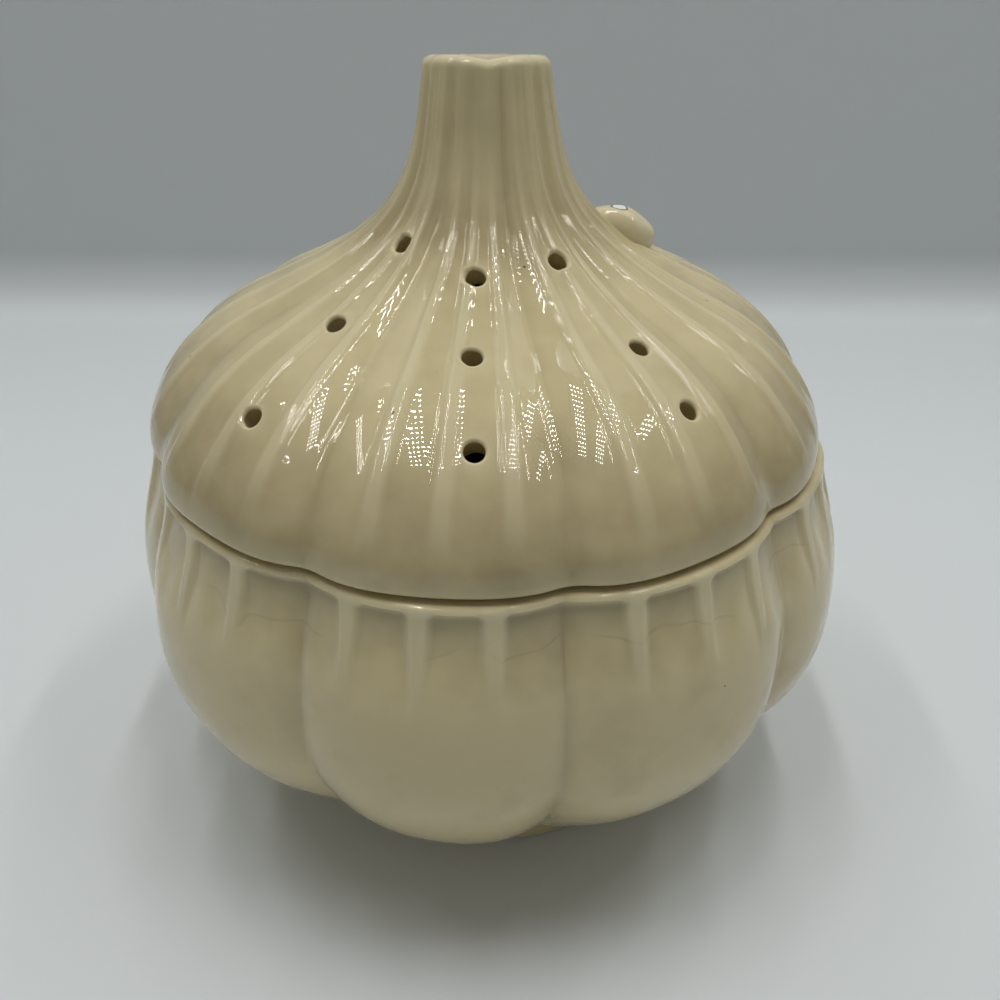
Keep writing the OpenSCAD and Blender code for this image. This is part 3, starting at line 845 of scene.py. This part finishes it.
class KEEPER_OT_stage(bpy.types.Operator):
    """Lay the floor and its backdrop, hang the lamps and set up the camera"""
    bl_idname = "keeper.stage"
    bl_label = "Set the stage"

    def execute(self, context):
        self.table(context)
        self.bars(context)
        self.diodes(context)
        self.room(context)
        self.camera(context)
        return {"FINISHED"}

    def table(self, context):
        """A table that curves up into the wall behind."""
        deselect()
        bpy.ops.mesh.primitive_plane_add(size=1, location=(0, 0, 0))
        floor = context.object
        floor.name = floor.data.name = "floor"
        bpy.ops.object.mode_set(mode="EDIT")
        bpy.ops.transform.resize(value=TABLE_SIZE)
        bpy.ops.transform.translate(value=(0, TABLE_MIDDLE, 0))
        bpy.ops.mesh.select_mode(type="EDGE")
        bpy.ops.mesh.select_all(action="DESELECT")
        bpy.ops.object.mode_set(mode="OBJECT")
        for edge in floor.data.edges:       # only the back edge is extruded
            edge.select = all(floor.data.vertices[v].co.y > 0.1 for v in edge.vertices)
        bpy.ops.object.mode_set(mode="EDIT")
        for k in range(BEND_STEPS):
            a, b = (math.radians(90 * step / BEND_STEPS) for step in (k, k + 1))
            bpy.ops.mesh.extrude_region_move(TRANSFORM_OT_translate={"value": (
                0, WALL_BEND * (math.sin(b) - math.sin(a)),
                WALL_BEND * (math.cos(a) - math.cos(b)))})
        bpy.ops.mesh.extrude_region_move(TRANSFORM_OT_translate={"value": (0, 0, WALL_HEIGHT)})
        bpy.ops.object.mode_set(mode="OBJECT")
        bpy.ops.object.shade_smooth()
        floor.data.materials.append(floor_material(context.scene.keeper_finish))

    def bars(self, context):
        """Bars of lamps that point straight down; those on the right are a little stronger."""
        for k, across in enumerate(BAR_PLACES):
            deselect()
            bpy.ops.object.light_add(type="AREA", location=(across, BAR_BACK, BAR_HEIGHT))
            light = context.object
            light.name = light.data.name = f"bar_{k + 1}"
            light.data.shape, light.data.size, light.data.size_y = "RECTANGLE", *BAR_SIZE
            light.data.energy = BAR_WATTS * (FIRST_SHARE + SHARE_STEP * k)
            down = Vector((0, 0, -BAR_HEIGHT))
            light.rotation_euler = down.to_track_quat("-Z", "Y").to_euler()
            light.visible_glossy = light.visible_camera = False

    def diodes(self, context):
        """Small bright lamps under the ceiling, which sparkle along the ribs. They are seen only
        in reflections: one band is made at a time, and the bands are joined."""
        bands = []
        for across in DIODE_BANDS:
            deselect()
            bpy.ops.mesh.primitive_plane_add(
                size=DIODE_WIDTH, location=(across + DIODE_OFFSET, DIODE_FRONT, DIODE_HEIGHT),
                rotation=(math.pi, 0, 0))
            band = context.object
            bpy.ops.object.transform_apply(location=True, rotation=True)
            for step, count, name in DIODE_GRID:
                copies = band.modifiers.new(name, "ARRAY")
                copies.use_relative_offset, copies.use_constant_offset = False, True
                copies.constant_offset_displace, copies.count = step, count
                bpy.ops.object.modifier_apply(modifier=copies.name)
            bands.append(band)
        deselect()
        for band in bands:
            band.select_set(True)
        context.view_layer.objects.active = bands[0]
        bpy.ops.object.join()
        rows = context.object
        rows.name = rows.data.name = "diodes"
        material = bpy.data.materials.new("Diodes")
        n = Nodes(material)
        n.finish(n.add("ShaderNodeEmission", None,
                       {"Color": (1.0, 0.98, 0.93), "Strength": DIODE_GLOW}))
        rows.data.materials.append(material)
        rows.visible_camera = rows.visible_diffuse = False

    def room(self, context):
        """Even light from all round."""
        world = bpy.data.worlds.new("Room")
        context.scene.world = world
        world.use_nodes = True
        sky = world.node_tree.nodes["Background"]
        sky.inputs["Color"].default_value = (1, 1, 1, 1)
        sky.inputs["Strength"].default_value = ROOM_LIGHT

    def camera(self, context):
        """A camera in front of the keeper that looks down on it."""
        deselect()
        bpy.ops.object.camera_add()
        camera = context.object
        camera.name = camera.data.name = "camera"
        camera.data.sensor_width, camera.data.lens = 36.0, CAMERA_LENS
        camera.data.clip_start = 0.01
        camera.matrix_world = (Matrix.Translation(CAMERA_PLACE)
                               @ Matrix.Rotation(math.radians(90 - CAMERA_DOWN), 4, "X")
                               @ Matrix.Rotation(math.radians(CAMERA_ROLL), 4, "Z"))
        context.scene.camera = camera
        context.scene.view_settings.view_transform = "Standard"


class KEEPER_PT_panel(bpy.types.Panel):
    """The keeper's pieces and sizes in the 3D view's sidebar"""
    bl_idname = "KEEPER_PT_panel"
    bl_label = "Garlic keeper"
    bl_space_type = "VIEW_3D"
    bl_region_type = "UI"
    bl_category = "Garlic keeper"

    def draw(self, context):
        for step in STEPS:
            self.layout.operator(step.bl_idname)
        for group in (context.scene.keeper_sizes, context.scene.keeper_finish):
            box = self.layout.box()
            for name in group.__annotations__:
                box.prop(group, name)


STEPS = (KEEPER_OT_jar, KEEPER_OT_lid, KEEPER_OT_sprig, KEEPER_OT_stage)
CLASSES = (KeeperSizes, KeeperFinish) + STEPS + (KEEPER_PT_panel,)


def register():
    for cls in CLASSES:
        bpy.utils.register_class(cls)
    bpy.types.Scene.keeper_sizes = bpy.props.PointerProperty(type=KeeperSizes)
    bpy.types.Scene.keeper_finish = bpy.props.PointerProperty(type=KeeperFinish)


def unregister():
    del bpy.types.Scene.keeper_finish, bpy.types.Scene.keeper_sizes
    for cls in reversed(CLASSES):
        bpy.utils.unregister_class(cls)


def main():
    register()
    bpy.ops.keeper.jar()
    bpy.ops.keeper.lid()
    bpy.ops.keeper.sprig()
    bpy.ops.keeper.stage()


if __name__ == "__main__":
    main()
